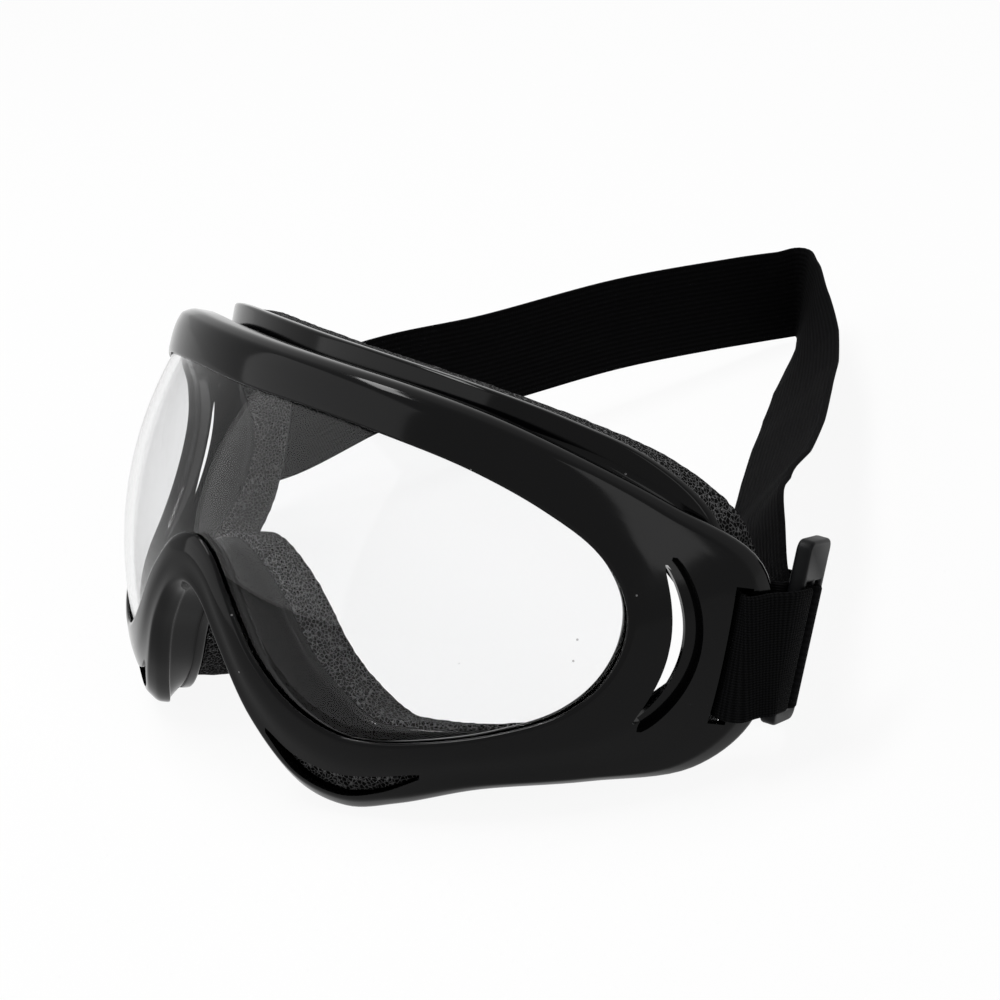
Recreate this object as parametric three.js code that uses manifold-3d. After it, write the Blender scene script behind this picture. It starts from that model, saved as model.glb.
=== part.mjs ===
// Sports protective goggles: a moulded frame with a curved one-piece lens, face foam,
// vent foam and an elastic webbing strap with a slider. Millimetres, +Z up.
// The wearer looks toward -Y, so the wearer's left side is +X.
import * as THREE from 'three';
import { mergeVertices } from 'three/addons/utils/BufferGeometryUtils.js';
import Module from 'manifold-3d';

const wasm = await Module();
wasm.setup();

// Driving sizes
const lensRadius = 89.4; // radius of the lens across its width
const templeStart = 100; // distance round the front at which the temples straighten
const templeRadius = 180; // flatter radius of the temples
const crownPerMm = 0.0061; // how the front also falls away above and below, per mm squared
const crownHeight = 1.2; // height of the foremost line of the lens
const leanBack = THREE.MathUtils.degToRad(24); // how far the goggles lean back as they stand
const lensThickness = 2.0;
const fit = 0.4; // clearance around the lens in its groove
const gap = 0.3; // clearance between other neighbours
const lipCover = 1.2; // how far the groove's lips reach over the lens edge
const grooveDepth = 1.9; // how far the groove runs outside the visible edge
const wall = 2.5; // thickness of the frame's walls and flange
const foamDepth = 10;
const foamLowest = -37; // the foam stays clear of what the goggles stand on
const webWidth = 25.4;
const webThickness = 1.2;
const webHeight = 2; // middle of the strap slots
const slotInner = 116.8; // strap slot, measured round the front
const slotOuter = 120.6;
const wingEnd = 128.5;
const stations = 126; // steps round the frame

const rubber = new THREE.MeshStandardMaterial({ color: 0x0c0d0e, roughness: 0.3, metalness: 0 });
const clear = new THREE.MeshStandardMaterial({ color: 0xdfe6e8, roughness: 0.05, metalness: 0 });
const foam = new THREE.MeshStandardMaterial({ color: 0x141414, roughness: 1, metalness: 0 });
const webbing = new THREE.MeshStandardMaterial({ color: 0x161616, roughness: 0.9, metalness: 0 });
const thread = new THREE.MeshStandardMaterial({ color: 0x1d1d1d, roughness: 0.8, metalness: 0 });
const nylon = new THREE.MeshStandardMaterial({ color: 0x121314, roughness: 0.45, metalness: 0 });

// Half of the frame's rows, from the middle of the brow round the wearer's left temple and
// down to the bridge of the nose.
// lens: visible edge [round, up]; body: outline of the front [round, up];
// flange and mouth: outer and inner edge of the face flange [x, y, z] before leaning;
// inset: how far the outer wall stands inside the outline; step: how far inside the flange;
// crown: height of the front face over the lens; back: depth of the front plate.
const rows = [
  { lens: [0, 33.8], body: [0, 42.3], flange: [0, 25, 44.5], mouth: [0, 24, 33.5],
    inset: 4.6, step: 6, crown: 3.4, back: 5.2 },
  { lens: [20, 33.8], body: [22, 42.1], flange: [20, 27, 44.3], mouth: [19, 26, 33.3],
    inset: 4.6, step: 6, crown: 3.4, back: 5.2 },
  { lens: [40, 32.7], body: [42, 41.4], flange: [40, 33.5, 43.2], mouth: [37, 31.5, 32],
    inset: 4.6, step: 6, crown: 3.4, back: 5.2 },
  { lens: [60, 30.1], body: [62, 39.4], flange: [57, 43, 40.8], mouth: [52, 39.5, 29],
    inset: 4.6, step: 5.5, crown: 3.3, back: 5.2 },
  { lens: [77, 25.2], body: [82, 35.2], flange: [70, 54, 36.6], mouth: [64, 49, 24.5],
    inset: 4.6, step: 5, crown: 3.1, back: 4.6 },
  { lens: [89, 19], body: [102, 29.3], flange: [79, 64, 28.5], mouth: [73, 59, 17],
    inset: 4.6, step: 3, crown: 2.6, back: 3.2 },
  { lens: [96, 10.5], body: [123, 20.5], flange: [82, 70, 16.5], mouth: [77, 66, 9],
    inset: 8, step: 0.6, crown: 1.9, back: 2 },
  { lens: [97.3, 2], body: [wingEnd, 3], flange: [82, 71, 2], mouth: [77.5, 67.5, 2],
    inset: 13, step: 0.6, crown: 1.5, back: 1.6 },
  { lens: [94.5, -7], body: [127.3, -12], flange: [81, 69.5, -13], mouth: [76.5, 65.5, -7],
    inset: 12.5, step: 0.6, crown: 1.5, back: 1.6 },
  { lens: [88, -14.5], body: [118, -22.3], flange: [76.5, 62, -22.5], mouth: [71, 57.5, -14.5],
    inset: 7, step: 0.6, crown: 1.5, back: 2 },
  { lens: [76, -21], body: [97, -27.8], flange: [67.5, 51, -28.6], mouth: [62, 47, -20],
    inset: 2, step: 0.6, crown: 1.6, back: 4.6 },
  { lens: [63, -26], body: [75, -33.5], flange: [56, 40, -34.3], mouth: [51, 36.5, -24.5],
    inset: 0.8, step: 0.6, crown: 1.6, back: 4.6 },
  { lens: [51, -29.4], body: [57, -41.2], flange: [46, 32.5, -39.6], mouth: [42.5, 31, -26.5],
    inset: 0.8, step: 0.6, crown: 1.6, back: 4.6 },
  { lens: [41.5, -30], body: [44, -45.3], flange: [37, 28.8, -42.6], mouth: [35, 28, -27.5],
    inset: 0.8, step: 0.6, crown: 1.6, back: 4.6 },
  { lens: [31, -26.8], body: [31.5, -43.4], flange: [28, 25.8, -41.2], mouth: [27.5, 25, -24.5],
    inset: 0.8, step: 0.6, crown: 1.6, back: 4.6 },
  { lens: [21.8, -20.2], body: [20.5, -33.8], flange: [19, 21, -34], mouth: [21, 20, -18],
    inset: 0.8, step: 0.6, crown: 1.6, back: 4.6 },
  { lens: [12.5, -8.6], body: [11.5, -20.2], flange: [11, 15.5, -20.8], mouth: [13, 15, -7],
    inset: 0.8, step: 0.6, crown: 1.6, back: 4.6 },
  { lens: [6.2, -2], body: [5.2, -12.2], flange: [5, 13, -12.8], mouth: [6.8, 12.5, -1.5],
    inset: 0.8, step: 0.6, crown: 1.6, back: 4.6 },
  { lens: [0, 0.2], body: [0, -10], flange: [0, 12.5, -10.6], mouth: [0, 12, 0.6],
    inset: 0.8, step: 0.6, crown: 1.6, back: 4.6 },
];

// A point on the curved front: round is measured along it from the nose, up is height,
// out is the distance in front of the lens surface. Before leaning.
function frontPoint(round, up, out) {
  const side = Math.sign(round);
  const along = Math.abs(round);
  const startAngle = templeStart / lensRadius;
  let angle = along / lensRadius;
  let x = lensRadius * Math.sin(angle);
  let y = lensRadius * (1 - Math.cos(angle));
  if (along > templeStart) {
    angle = startAngle + (along - templeStart) / templeRadius;
    x = lensRadius * Math.sin(startAngle) + templeRadius * (Math.sin(angle) - Math.sin(startAngle));
    y = lensRadius * (1 - Math.cos(startAngle))
      + templeRadius * (Math.cos(startAngle) - Math.cos(angle));
  }
  const lift = out - crownPerMm * ((up - crownHeight) ** 2 - crownHeight ** 2);
  return new THREE.Vector3(side * (x + lift * Math.sin(angle)), y - lift * Math.cos(angle), up);
}

// Turn a point about the X axis from the upright frame into the leaning one.
function lean(point) {
  return point.clone().applyAxisAngle(new THREE.Vector3(1, 0, 0), -leanBack);
}

// A closed smooth curve through one entry of the rows and its mirror image.
function loopCurve(entry) {
  const left = rows.map(entry);
  const right = left.slice(1, -1).reverse().map((p) => new THREE.Vector3(-p.x, p.y, p.z));
  return new THREE.CatmullRomCurve3([...left, ...right], true, 'centripetal');
}

const lensCurve = loopCurve((row) => new THREE.Vector3(row.lens[0], row.lens[1], 0));
const bodyCurve = loopCurve((row) => new THREE.Vector3(row.body[0], row.body[1], 0));
const flangeCurve = loopCurve((row) => new THREE.Vector3(...row.flange));
const mouthCurve = loopCurve((row) => new THREE.Vector3(...row.mouth));
const wallCurve = loopCurve((row) => new THREE.Vector3(0, row.inset, row.step));
const plateCurve = loopCurve((row) => new THREE.Vector3(0, row.crown, row.back));

// Skin over a list of rings with equal numbers of points; closed joins last to first.
function skin(rings, closed) {
  const count = rings[0].length;
  const positions = rings.flat().flatMap((p) => [p.x, p.y, p.z]);
  const index = [];
  const last = closed ? rings.length : rings.length - 1;
  for (let i = 0; i < last; i += 1) {
    const next = (i + 1) % rings.length;
    for (let j = 0; j < count; j += 1) {
      const k = (j + 1) % count;
      index.push(i * count + j, next * count + j, next * count + k);
      index.push(i * count + j, next * count + k, i * count + k);
    }
  }
  if (!closed) {
    const end = (rings.length - 1) * count;
    for (let j = 1; j < count - 1; j += 1) {
      index.push(0, j, j + 1);
      index.push(end, end + j + 1, end + j);
    }
  }
  const geometry = new THREE.BufferGeometry();
  geometry.setAttribute('position', new THREE.Float32BufferAttribute(positions, 3));
  geometry.setIndex(index);
  return facingOut(geometry);
}

// Reverse the faces when the enclosed volume comes out negative.
function facingOut(geometry) {
  const p = geometry.attributes.position;
  const index = geometry.index.array;
  const corner = [new THREE.Vector3(), new THREE.Vector3(), new THREE.Vector3()];
  let volume = 0;
  for (let i = 0; i < index.length; i += 3) {
    corner.forEach((c, n) => c.fromBufferAttribute(p, index[i + n]));
    volume += corner[0].dot(corner[1].clone().cross(corner[2]));
  }
  if (volume < 0) {
    const turned = Array.from(index).reverse();
    geometry.setIndex(turned);
  }
  return geometry;
}

function toSolid(geometry) {
  const plain = geometry.clone();
  plain.deleteAttribute('normal');
  plain.deleteAttribute('uv');
  const merged = mergeVertices(plain, 1e-3);
  const vertProperties = new Float32Array(merged.attributes.position.array);
  const triVerts = new Uint32Array(merged.index.array);
  return new wasm.Manifold(new wasm.Mesh({ numProp: 3, vertProperties, triVerts }));
}

function toGeometry(solid) {
  const mesh = solid.getMesh();
  const geometry = new THREE.BufferGeometry();
  geometry.setAttribute('position', new THREE.Float32BufferAttribute(mesh.vertProperties, 3));
  geometry.setIndex(Array.from(mesh.triVerts));
  return geometry;
}

function named(name, geometry, material) {
  const mesh = new THREE.Mesh(geometry, material);
  mesh.name = name;
  mesh.geometry.computeVertexNormals();
  return mesh;
}

// One section of the frame's ring, from the front lip outward, back to the flange and
// forward again along the inside to the lens groove.
function frameSection(t) {
  const edge = lensCurve.getPoint(t);
  const outline = bodyCurve.getPoint(t);
  const away = outline.clone().sub(edge);
  const width = away.length();
  away.normalize();
  const { y: inset, z: step } = wallCurve.getPoint(t);
  const { y: crown, z: back } = plateCurve.getPoint(t);
  const at = (a, out) => frontPoint(edge.x + away.x * a, edge.y + away.y * a, out);
  const flange = flangeCurve.getPoint(t);
  const mouth = mouthCurve.getPoint(t);
  const inward = mouth.clone().sub(flange).normalize();
  const thick = new THREE.Vector3(0, wall, 0);
  const flangeRoot = flange.clone().addScaledVector(inward, step);
  const innerRoot = flangeRoot.clone().addScaledVector(inward, wall);
  const inner = Math.max(width - inset - wall, grooveDepth + 0.4);
  const seat = Math.min(grooveDepth + 2.4, inner - 0.2);
  const groove = lensThickness + fit;
  return [
    at(-lipCover, fit),
    at(-lipCover, fit + 0.6),
    at(-0.2, fit + 1.1),
    at(width * 0.3, 1.2 + crown * 0.35),
    at(width * 0.6, crown - 0.2),
    at(width * 0.86, crown),
    at(width, crown - 1.7),
    at(width, -back * 0.5 - 0.5),
    at(width - inset, -back * 0.5 - 0.6),
    flangeRoot.clone().sub(thick),
    flange.clone().sub(thick),
    flange,
    mouth,
    mouth.clone().sub(thick),
    innerRoot.clone().sub(thick),
    at(inner, -back),
    at(Math.min(seat + 1.4, inner - 0.1), -back),
    at(seat, -groove - 1.8),
    at(-lipCover, -groove - 1.6),
    at(-lipCover, -groove),
    at(grooveDepth, -groove),
    at(grooveDepth, fit),
  ];
}

// A cutter standing across the front: half widths and middles along a line of [round, up].
function frontCutter(line, direction, inside, outside) {
  const rings = line.map(([round, up, half]) => [
    frontPoint(round - direction[0] * half, up - direction[1] * half, inside),
    frontPoint(round + direction[0] * half, up + direction[1] * half, inside),
    frontPoint(round + direction[0] * half, up + direction[1] * half, outside),
    frontPoint(round - direction[0] * half, up - direction[1] * half, outside),
  ]);
  return toSolid(skin(rings, false));
}

// Crescent in the temple: its middle line bows toward the rear.
function crescent(side, middle, half, halfWidth) {
  const steps = 20;
  const line = [];
  for (let i = 0; i <= steps; i += 1) {
    const f = -1 + (2 * i) / steps;
    line.push([side * (middle - 5.4 * f * f), 2.4 + half * f, halfWidth * Math.sqrt(1.02 - f * f)]);
  }
  return line;
}

// Side vent: a shallow pocket with a narrower slot through it along its front edge.
function sideVent(side) {
  const pocket = frontCutter(crescent(side, 108.4, 17.6, 3.3), [1, 0], -0.5, 8);
  const slot = frontCutter(crescent(side, 106.9, 16, 1.8), [1, 0], -10, 8);
  return pocket.add(slot);
}

// Crescent vent under the lens lobe on one side; widest just past the lowest point.
function lowerVentLine(side, halfWidth) {
  const steps = 18;
  const line = [];
  const middle = new THREE.CatmullRomCurve3([
    new THREE.Vector3(24.5, -33.2, 0), new THREE.Vector3(32, -38.4, 0),
    new THREE.Vector3(43, -39.9, 0), new THREE.Vector3(52.5, -37.4, 0),
    new THREE.Vector3(61.5, -33.2, 0)]);
  for (let i = 0; i <= steps; i += 1) {
    const t = i / steps;
    const p = middle.getPoint(t);
    line.push([side * p.x, p.y, halfWidth * Math.sin(Math.PI * (0.04 + 0.92 * t)) ** 0.7]);
  }
  return line;
}

function lowerVent(side) {
  return frontCutter(lowerVentLine(side, 2.4), [0, 1], -5.8, 6);
}

function strapSlot(side) {
  const middle = side * (slotInner + slotOuter) / 2;
  const half = (slotOuter - slotInner) / 2;
  const line = [];
  const steps = 6;
  for (let i = 0; i <= steps; i += 1) {
    line.push([middle, webHeight + (webWidth / 2 + 1.2) * (-1 + (2 * i) / steps), half]);
  }
  return frontCutter(line, [1, 0], -8, 8);
}

function makeFrame() {
  const rings = [];
  for (let i = 0; i < stations; i += 1) rings.push(frameSection(i / stations));
  let solid = toSolid(skin(rings, true));
  for (const side of [-1, 1]) {
    solid = solid.subtract(sideVent(side));
    solid = solid.subtract(lowerVent(side));
    solid = solid.subtract(strapSlot(side));
  }
  return named('frame', toGeometry(solid), rubber);
}

// Height of the lens outline at a distance round the front, above or below.
function lensEdge(round, upper) {
  const reach = grooveDepth - fit - 0.2;
  const steps = 400;
  let best = null;
  for (let i = 0; i < steps; i += 1) {
    const t = i / steps;
    const edge = lensCurve.getPoint(t);
    const away = bodyCurve.getPoint(t).sub(edge).normalize();
    edge.addScaledVector(away, reach);
    const isUpper = t < 7 / 36 || t > 29 / 36;
    if (isUpper !== upper) continue;
    const distance = Math.abs(edge.x - round);
    if (!best || distance < best.distance) best = { distance, up: edge.y };
  }
  return best.up;
}

function makeLens() {
  const columns = 48;
  const across = 8;
  const reach = 97.3 + grooveDepth - fit - 0.2;
  const rings = [];
  for (let i = 0; i <= columns; i += 1) {
    const round = 0.999 * reach * Math.sin(Math.PI * (i / columns - 0.5));
    const top = lensEdge(round, true);
    const bottom = lensEdge(round, false);
    const ring = [];
    for (let j = 0; j <= across; j += 1) {
      ring.push(frontPoint(round, bottom + ((top - bottom) * j) / across, 0));
    }
    for (let j = across; j >= 0; j -= 1) {
      ring.push(frontPoint(round, bottom + ((top - bottom) * j) / across, -lensThickness));
    }
    rings.push(ring);
  }
  return named('lens', skin(rings, false), clear);
}

function makeFaceFoam() {
  const rings = [];
  for (let i = 0; i < stations; i += 1) {
    const t = i / stations;
    const flange = flangeCurve.getPoint(t);
    const mouth = mouthCurve.getPoint(t);
    const inward = mouth.clone().sub(flange).normalize();
    const outer = flange.clone().addScaledVector(inward, 1);
    outer.z = Math.max(outer.z, foamLowest);
    const inner = mouth.clone().addScaledVector(inward, 1.2);
    const back = (p, depth) => p.clone().add(new THREE.Vector3(0, depth, 0));
    const soft = inward.clone().multiplyScalar(1.2);
    rings.push([
      back(outer, gap),
      back(outer, foamDepth - 1.5),
      back(outer.clone().add(soft), foamDepth),
      back(inner.clone().sub(soft), foamDepth),
      back(inner, foamDepth - 1.5),
      back(inner, gap),
    ]);
  }
  return named('face_foam', skin(rings, true), foam);
}

// Foam strip that fills a lower vent, set back from the front face.
function makeVentFoam(side, name) {
  const rings = lowerVentLine(side, 1.9).slice(1, -1).map(([round, up, half]) => [
    frontPoint(round, up - half, -1.6),
    frontPoint(round, up + half, -1.6),
    frontPoint(round, up + half, -5),
    frontPoint(round, up - half, -5),
  ]);
  return named(name, skin(rings, false), foam);
}

// A flat band: centres, and the direction of its width at each of them.
function band(centres, widths, width, thickness, closed) {
  const count = centres.length;
  const rings = centres.map((centre, i) => {
    const before = closed ? centres[(i + count - 1) % count] : centres[Math.max(i - 1, 0)];
    const after = closed ? centres[(i + 1) % count] : centres[Math.min(i + 1, count - 1)];
    const tangent = after.clone().sub(before).normalize();
    const up = widths[i].clone().addScaledVector(tangent, -widths[i].dot(tangent)).normalize();
    const out = tangent.clone().cross(up).normalize();
    const corner = (a, b) => centre.clone()
      .addScaledVector(up, (a * width) / 2)
      .addScaledVector(out, (b * thickness) / 2);
    return [corner(-1, -1), corner(1, -1), corner(1, 1), corner(-1, 1)];
  });
  return skin(rings, closed);
}

// The slider stands behind the left temple: the middle of the webbing at its first bar, and
// its heading. The plate stands a little higher than the webbing in it.
const sliderStart = new THREE.Vector3(89.8, 80.2, 4.4);
const sliderHeading = THREE.MathUtils.degToRad(112);
const sliderRaise = 2.8;
const barWidth = 1.9;
const windowWidth = 3.2;
const pitch = barWidth + windowWidth;
const sliderThickness = 3.2;
const sliderHeight = 38;
const windowHeight = webWidth + 1;

function sliderPoint(along, out) {
  const ahead = new THREE.Vector3(Math.cos(sliderHeading), Math.sin(sliderHeading), 0);
  const side = new THREE.Vector3(ahead.y, -ahead.x, 0);
  return sliderStart.clone().addScaledVector(ahead, along).addScaledVector(side, out);
}

function makeSlider() {
  const length = 3 * barWidth + 2 * windowWidth;
  const round = 1.8;
  const plate = new THREE.Shape();
  const low = -sliderHeight / 2;
  const high = sliderHeight / 2;
  const start = -barWidth / 2;
  const end = start + length;
  plate.moveTo(start + length / 2, low);
  plate.absarc(end - round, low + round, round, -Math.PI / 2, 0, false);
  plate.absarc(end - round, high - round, round, 0, Math.PI / 2, false);
  plate.absarc(start + round, high - round, round, Math.PI / 2, Math.PI, false);
  plate.absarc(start + round, low + round, round, Math.PI, 1.5 * Math.PI, false);
  const geometry = new THREE.ExtrudeGeometry(plate, {
    depth: sliderThickness, bevelEnabled: false, curveSegments: 5 });
  geometry.translate(0, 0, -sliderThickness / 2);
  let solid = toSolid(geometry);
  for (let i = 0; i < 2; i += 1) {
    const hole = new THREE.BoxGeometry(windowWidth, windowHeight, 2 * sliderThickness);
    hole.translate(pitch / 2 + i * pitch, -sliderRaise, 0);
    solid = solid.subtract(toSolid(hole));
  }
  const pierced = toGeometry(solid);
  const ahead = new THREE.Vector3(Math.cos(sliderHeading), Math.sin(sliderHeading), 0);
  const up = new THREE.Vector3(0, 0, 1);
  const out = ahead.clone().cross(up);
  pierced.applyMatrix4(new THREE.Matrix4().makeBasis(ahead, up, out));
  pierced.translate(sliderStart.x, sliderStart.y, sliderStart.z + sliderRaise);
  return named('slider_left', pierced, nylon);
}

// Points along a smooth curve through the given ones.
function along(points, perSpan, closed) {
  return new THREE.CatmullRomCurve3(points, closed, 'centripetal')
    .getPoints(points.length * perSpan);
}

const webOut = 2.7; // middle of the outer layer over the wing
const webIn = -3.9; // middle of the inner layer behind the wing
const slotMiddle = (slotInner + slotOuter) / 2;

// A point of webbing on the temple: round the front, height of its middle, and depth.
function templeWeb(round, up, out) {
  const point = frontPoint(round, webHeight, out);
  point.z = up;
  return point;
}

// The short loop of webbing from the left slot round the slider's first bar; it rises a
// little toward the slider.
function makeStrapLoop() {
  const side = sliderThickness / 2 + gap + webThickness / 2;
  const points = [
    templeWeb(slotMiddle, webHeight, -1.8),
    templeWeb(slotMiddle, webHeight, 0.6),
    templeWeb(slotMiddle + 1.4, webHeight + 0.2, webOut),
    templeWeb(124.5, 3.3, webOut + 0.1),
    templeWeb(wingEnd, 4.1, webOut),
    sliderPoint(-0.9, side + 0.1),
    sliderPoint(1.2, side - 0.1),
    sliderPoint(1.85, 0.9),
    sliderPoint(1.85, -0.9),
    sliderPoint(1.2, -side + 0.1),
    sliderPoint(-0.2, -side),
    templeWeb(wingEnd, 4.2, webIn - 0.1),
    templeWeb(124.5, 3.2, webIn),
    templeWeb(slotMiddle + 1.5, webHeight + 0.2, webIn),
  ];
  const centres = along(points, 4, true).slice(0, -1);
  const widths = centres.map(() => new THREE.Vector3(0, 0, 1));
  return named('strap_loop_left', band(centres, widths, webWidth, webThickness, true), webbing);
}

// The long strap, in the leaning frame: from its tail over the slider's middle bar, round the
// back to the right slot, where its end is folded through and sewn back on itself. Each point
// has the middle of the webbing and the direction of its width.
function makeStrap() {
  const side = sliderThickness / 2 + gap + webThickness / 2;
  const upward = lean(new THREE.Vector3(0, 0, 1));
  const onSlider = (ahead, out) => [lean(sliderPoint(ahead, out)), upward];
  const onTemple = (round, up, out) => {
    const point = templeWeb(round, up, out);
    point.x = -point.x;
    return [lean(point), upward];
  };
  const free = (x, y, z, a, b, c) => [new THREE.Vector3(x, y, z), new THREE.Vector3(a, b, c)];
  const points = [
    onSlider(pitch - 2, -7.5),
    onSlider(pitch - 1.8, -4),
    onSlider(pitch - 1.8, -1),
    onSlider(pitch - 1.8, 1),
    onSlider(pitch - 1.2, side),
    onSlider(pitch + 1.2, side),
    onSlider(pitch + 1.9, 1),
    onSlider(pitch + 2, -1),
    onSlider(pitch + 3.4, -3),
    onSlider(pitch + 6.6, -3.5),
    onSlider(pitch + 8.8, -5.6),
    onSlider(pitch + 8.8, -10),
    free(63.5, 94, -22.8, 0.1, 0.55, 0.83),
    free(53.5, 104.5, -23, 0.2, 0.72, 0.66),
    free(39.5, 123.5, -27, 0.26, 0.79, 0.55),
    free(23, 144, -31.3, 0.3, 0.8, 0.5),
    free(6, 164.5, -35, 0.3, 0.81, 0.51),
    free(-9, 183, -38.2, 0.28, 0.8, 0.53),
    free(-23, 199.5, -39.6, 0.19, 0.76, 0.62),
    free(-36.5, 214.5, -39.6, 0.04, 0.62, 0.78),
    free(-48, 227, -38.4, -0.05, 0.4, 0.91),
    free(-55, 231.5, -37.7, 0, 0.2, 0.98),
    free(-58.6, 226, -37.5, 0, 0.05, 1),
    free(-62, 208, -34.5, 0, 0, 1),
    free(-68, 175, -30, 0, 0, 1),
    free(-75.5, 135, -27.8, 0, 0, 1),
    free(-82.5, 102, -25, 0, 0.05, 1),
    onTemple(wingEnd + 7, webHeight, webOut + 0.2),
    onTemple(124.5, webHeight, webOut + 0.1),
    onTemple(slotMiddle + 1.5, webHeight, webOut),
    onTemple(slotMiddle, webHeight, 0.6),
    onTemple(slotMiddle, webHeight, -2.4),
    onTemple(slotMiddle + 1.6, webHeight, webIn),
    onTemple(124.5, webHeight, webIn),
    onTemple(wingEnd + 1, webHeight, webIn - 0.2),
  ];
  const perSpan = 4;
  const line = new THREE.CatmullRomCurve3(points.map((p) => p[0]), false, 'centripetal');
  const steps = (points.length - 1) * perSpan;
  const centres = [];
  const widths = [];
  for (let i = 0; i <= steps; i += 1) {
    const first = Math.min(Math.floor(i / perSpan), points.length - 2);
    const share = i / perSpan - first;
    centres.push(line.getPoint(i / steps));
    widths.push(points[first][1].clone().lerp(points[first + 1][1], share).normalize());
  }
  return named('strap_main', band(centres, widths, webWidth, webThickness, false), webbing);
}

const goggles = new THREE.Group();
const leaning = new THREE.Group();
leaning.rotation.x = -leanBack;
leaning.add(makeFrame(), makeLens(), makeFaceFoam());
leaning.add(makeVentFoam(1, 'vent_foam_left'), makeVentFoam(-1, 'vent_foam_right'));
leaning.add(makeStrapLoop(), makeSlider());
goggles.add(leaning, makeStrap());

// Put the origin under the middle of the whole, on the surface it stands on.
goggles.updateMatrixWorld(true);
const bounds = new THREE.Box3().setFromObject(goggles, true);
const centre = bounds.getCenter(new THREE.Vector3());
goggles.position.set(-centre.x, -centre.y, -bounds.min.z);

export default goggles;
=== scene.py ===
import bpy
import bmesh
import math
from mathutils import Matrix, Vector


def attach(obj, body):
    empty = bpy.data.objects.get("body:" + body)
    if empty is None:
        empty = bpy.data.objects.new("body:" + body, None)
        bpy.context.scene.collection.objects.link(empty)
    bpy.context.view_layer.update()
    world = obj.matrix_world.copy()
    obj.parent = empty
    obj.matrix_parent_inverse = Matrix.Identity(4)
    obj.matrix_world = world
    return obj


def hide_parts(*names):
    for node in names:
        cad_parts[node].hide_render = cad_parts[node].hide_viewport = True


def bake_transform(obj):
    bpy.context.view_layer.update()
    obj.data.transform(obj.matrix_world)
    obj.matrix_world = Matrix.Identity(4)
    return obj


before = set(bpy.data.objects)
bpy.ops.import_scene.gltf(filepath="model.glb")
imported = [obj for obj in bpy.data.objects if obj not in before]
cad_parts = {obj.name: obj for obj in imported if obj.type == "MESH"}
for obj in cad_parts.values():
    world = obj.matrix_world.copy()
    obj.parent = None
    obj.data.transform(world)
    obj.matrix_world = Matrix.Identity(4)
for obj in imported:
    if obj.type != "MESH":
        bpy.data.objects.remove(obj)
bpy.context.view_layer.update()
mm = 0.001

# the upright fitting frame, leant back and set on the table
stance = {"lean": math.radians(24), "shift": (1.44472, -114.05078, 51.45378)}

front = {
    "lensRadius": 89.4, "templeStart": 100, "templeRadius": 180,
    "crownPerMm": 0.0061, "crownHeight": 1.2,
}


def deselectAll():
    bpy.ops.object.select_all(action="DESELECT")


def leanPoint(p):
    c, s = math.cos(stance["lean"]), math.sin(stance["lean"])
    x, y, z = p
    return Vector((x, y * c + z * s, -y * s + z * c))


# upright millimetres to the table frame in metres
def place(p):
    return (leanPoint(p) + Vector(stance["shift"])) * mm


# a point on the curved front: distance round it, height, and distance in front of the lens
def frontPoint(around, up, out):
    side = -1 if around < 0 else 1
    along = abs(around)
    radius, start, flat = front["lensRadius"], front["templeStart"], front["templeRadius"]
    angle = along / radius
    x = radius * math.sin(angle)
    y = radius * (1 - math.cos(angle))
    if along > start:
        first = start / radius
        angle = first + (along - start) / flat
        x = radius * math.sin(first) + flat * (math.sin(angle) - math.sin(first))
        y = radius * (1 - math.cos(first)) + flat * (math.cos(first) - math.cos(angle))
    lift = out - front["crownPerMm"] * ((up - front["crownHeight"]) ** 2 - front["crownHeight"] ** 2)
    return Vector((side * (x + lift * math.sin(angle)), y - lift * math.cos(angle), up))


# smooth line through points, centripetal, closed or open
def smoothLine(points, perSpan, closed):
    count = len(points)
    spans = count if closed else count - 1
    line = []
    for i in range(spans):
        p1, p2 = points[i], points[(i + 1) % count]
        p0 = points[(i - 1) % count] if closed or i > 0 else p1 * 2 - p2
        p3 = points[(i + 2) % count] if closed or i + 2 < count else p2 * 2 - p1
        d0 = max((p1 - p0).length ** 0.5, 1e-4)
        d1 = max((p2 - p1).length ** 0.5, 1e-4)
        d2 = max((p3 - p2).length ** 0.5, 1e-4)
        t1 = ((p1 - p0) / d0 - (p2 - p0) / (d0 + d1) + (p2 - p1) / d1) * d1
        t2 = ((p2 - p1) / d1 - (p3 - p1) / (d1 + d2) + (p3 - p2) / d2) * d1
        for k in range(perSpan):
            t = k / perSpan
            a = p2 - p1
            line.append(p1 + t1 * t + (a * 3 - t1 * 2 - t2) * t * t + (t1 + t2 - a * 2) * t ** 3)
    if not closed:
        line.append(points[-1].copy())
    return line


def newPiece(name, vertices, faces):
    mesh = bpy.data.meshes.new(name)
    mesh.from_pydata([tuple(v) for v in vertices], [], faces)
    mesh.update()
    piece = bpy.data.objects.new(name, mesh)
    bpy.context.scene.collection.objects.link(piece)
    return piece


# skin over rings with equal numbers of points, with outward faces
def skinPiece(name, rings, closed):
    count = len(rings[0])
    vertices = [p for ring in rings for p in ring]
    faces = []
    last = len(rings) if closed else len(rings) - 1
    for i in range(last):
        n = (i + 1) % len(rings)
        for j in range(count):
            k = (j + 1) % count
            faces.append((i * count + j, n * count + j, n * count + k, i * count + k))
    if not closed:
        faces.append(tuple(range(count)))
        faces.append(tuple((len(rings) - 1) * count + j for j in reversed(range(count))))
    piece = newPiece(name, vertices, faces)
    bm = bmesh.new()
    bm.from_mesh(piece.data)
    bmesh.ops.recalc_face_normals(bm, faces=bm.faces)
    bm.to_mesh(piece.data)
    bm.free()
    return piece


def activate(piece):
    deselectAll()
    piece.select_set(True)
    bpy.context.view_layer.objects.active = piece


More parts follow.
